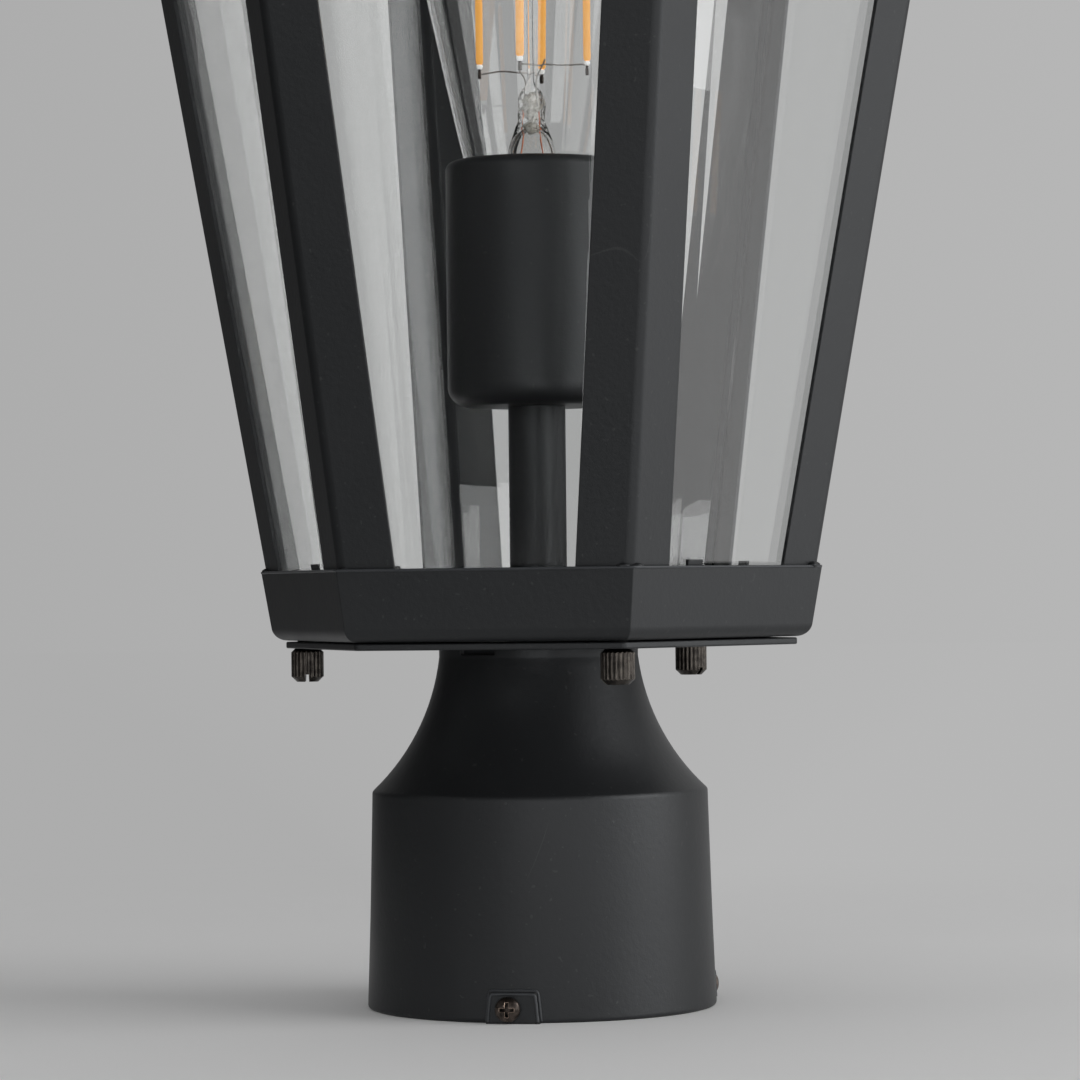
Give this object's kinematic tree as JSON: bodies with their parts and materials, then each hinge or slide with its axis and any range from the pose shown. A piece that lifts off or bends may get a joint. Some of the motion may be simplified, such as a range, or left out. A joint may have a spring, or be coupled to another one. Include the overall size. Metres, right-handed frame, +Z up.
{
  "type": "post top lantern",
  "caption": "Hexagonal outdoor lantern for the top of a round post: tapered glazed cage that lifts off a slip fitter, with a roof, a finial and a clear filament lamp.",
  "frame": {"origin": "centre of the fitter's bottom rim, on the rim's plane", "axes": "+Z up along the post; a corner of the cage on +X and on -X; a flat side of the cage towards -Y, the front"},
  "size_m": [0.252, 0.2182, 0.4556],
  "materials": {
    "black_coat": "fine-textured satin black powder coat",
    "dark_screw": "blackened steel, bronze where it is rubbed",
    "zinc_steel": "zinc plated",
    "green_screw": "green zinc plate",
    "clear_glass": "clear bevelled float glass",
    "bulb_glass": "clear blown glass",
    "filament": "orange-yellow coated LED filament, unlit",
    "wire_metal": "drawn nickel wire",
    "shell_metal": "bright nickel plate",
    "brass": "spring brass",
    "black_vitrite": "black glass insulator",
    "solder": "solder tip",
    "holder_plastic": "glazed off-white porcelain"
  },
  "bodies": {
    "base": {"post_fitter": "black_coat", "fitter_nipple": "zinc_steel", "lock_washer": "zinc_steel", "nipple_nut": "zinc_steel", "ground_screw": "green_screw", "base_plate": "black_coat", "stem_tube": "black_coat", "socket_nipple": "zinc_steel", "socket_cup": "black_coat", "lamp_holder": "holder_plastic", "terminal_screws": "brass", "screw_shell": "shell_metal", "centre_contact": "brass"},
    "cage": {"lower_pan": "black_coat", "glass_clips": "black_coat", "weld_nuts": "zinc_steel", "top_frame": "black_coat", "roof_plate": "black_coat", "roof": "black_coat", "cross_bar": "black_coat", "cross_bar_screws": "zinc_steel", "finial_rod": "zinc_steel", "rod_nut": "zinc_steel", "roof_collar": "black_coat", "corner_post_1": "black_coat", "glass_pane_1": "clear_glass", "corner_post_2": "black_coat", "glass_pane_2": "clear_glass", "corner_post_3": "black_coat", "glass_pane_3": "clear_glass", "corner_post_4": "black_coat", "glass_pane_4": "clear_glass", "corner_post_5": "black_coat", "glass_pane_5": "clear_glass", "corner_post_6": "black_coat", "glass_pane_6": "clear_glass"},
    "bulb": {"bulb_globe": "bulb_glass", "bulb_cap": "shell_metal", "bulb_insulator": "black_vitrite", "bulb_contact": "solder", "bulb_mount": "bulb_glass", "bulb_filaments": "filament", "bulb_wires": "wire_metal"},
    "finial": {"finial": "black_coat"},
    "thumb_screw_1": {"thumb_screw_1": "black_coat"},
    "thumb_screw_2": {"thumb_screw_2": "black_coat"},
    "thumb_screw_3": {"thumb_screw_3": "black_coat"},
    "set_screw_1": {"set_screw_1": "dark_screw"},
    "set_screw_2": {"set_screw_2": "dark_screw"},
    "set_screw_3": {"set_screw_3": "dark_screw"}
  },
  "joints": [
    {"name": "cage_lift", "type": "slide", "parent": "base", "child": "cage", "axis": [0, 0, 1], "range_m": [0, 0.235]},
    {"name": "bulb_turn", "type": "hinge", "parent": "base", "child": "bulb", "pos_m": [0, 0, 0.18], "axis": [0, 0, 1], "continuous": true},
    {"name": "finial_turn", "type": "hinge", "parent": "cage", "child": "finial", "pos_m": [0, 0, 0.43], "axis": [0, 0, 1], "continuous": true},
    {"name": "thumb_screw_1_turn", "type": "hinge", "parent": "base", "child": "thumb_screw_1", "pos_m": [-0.0578, 0, 0.082], "axis": [0, 0, -1], "continuous": true},
    {"name": "thumb_screw_2_turn", "type": "hinge", "parent": "base", "child": "thumb_screw_2", "pos_m": [0.0289, -0.05006, 0.082], "axis": [0, 0, -1], "continuous": true},
    {"name": "thumb_screw_3_turn", "type": "hinge", "parent": "base", "child": "thumb_screw_3", "pos_m": [0.0289, 0.05006, 0.082], "axis": [0, 0, -1], "continuous": true},
    {"name": "set_screw_1_turn", "type": "hinge", "parent": "base", "child": "set_screw_1", "pos_m": [0.00086, -0.04311, 0.0034], "axis": [0.0454, -0.999, 0], "continuous": true},
    {"name": "set_screw_2_turn", "type": "hinge", "parent": "base", "child": "set_screw_2", "pos_m": [0.0369, 0.02229, 0.0034], "axis": [0.8425, 0.5388, 0], "continuous": true},
    {"name": "set_screw_3_turn", "type": "hinge", "parent": "base", "child": "set_screw_3", "pos_m": [-0.03776, 0.02081, 0.0034], "axis": [-0.8878, 0.4602, 0], "continuous": true}
  ]
}
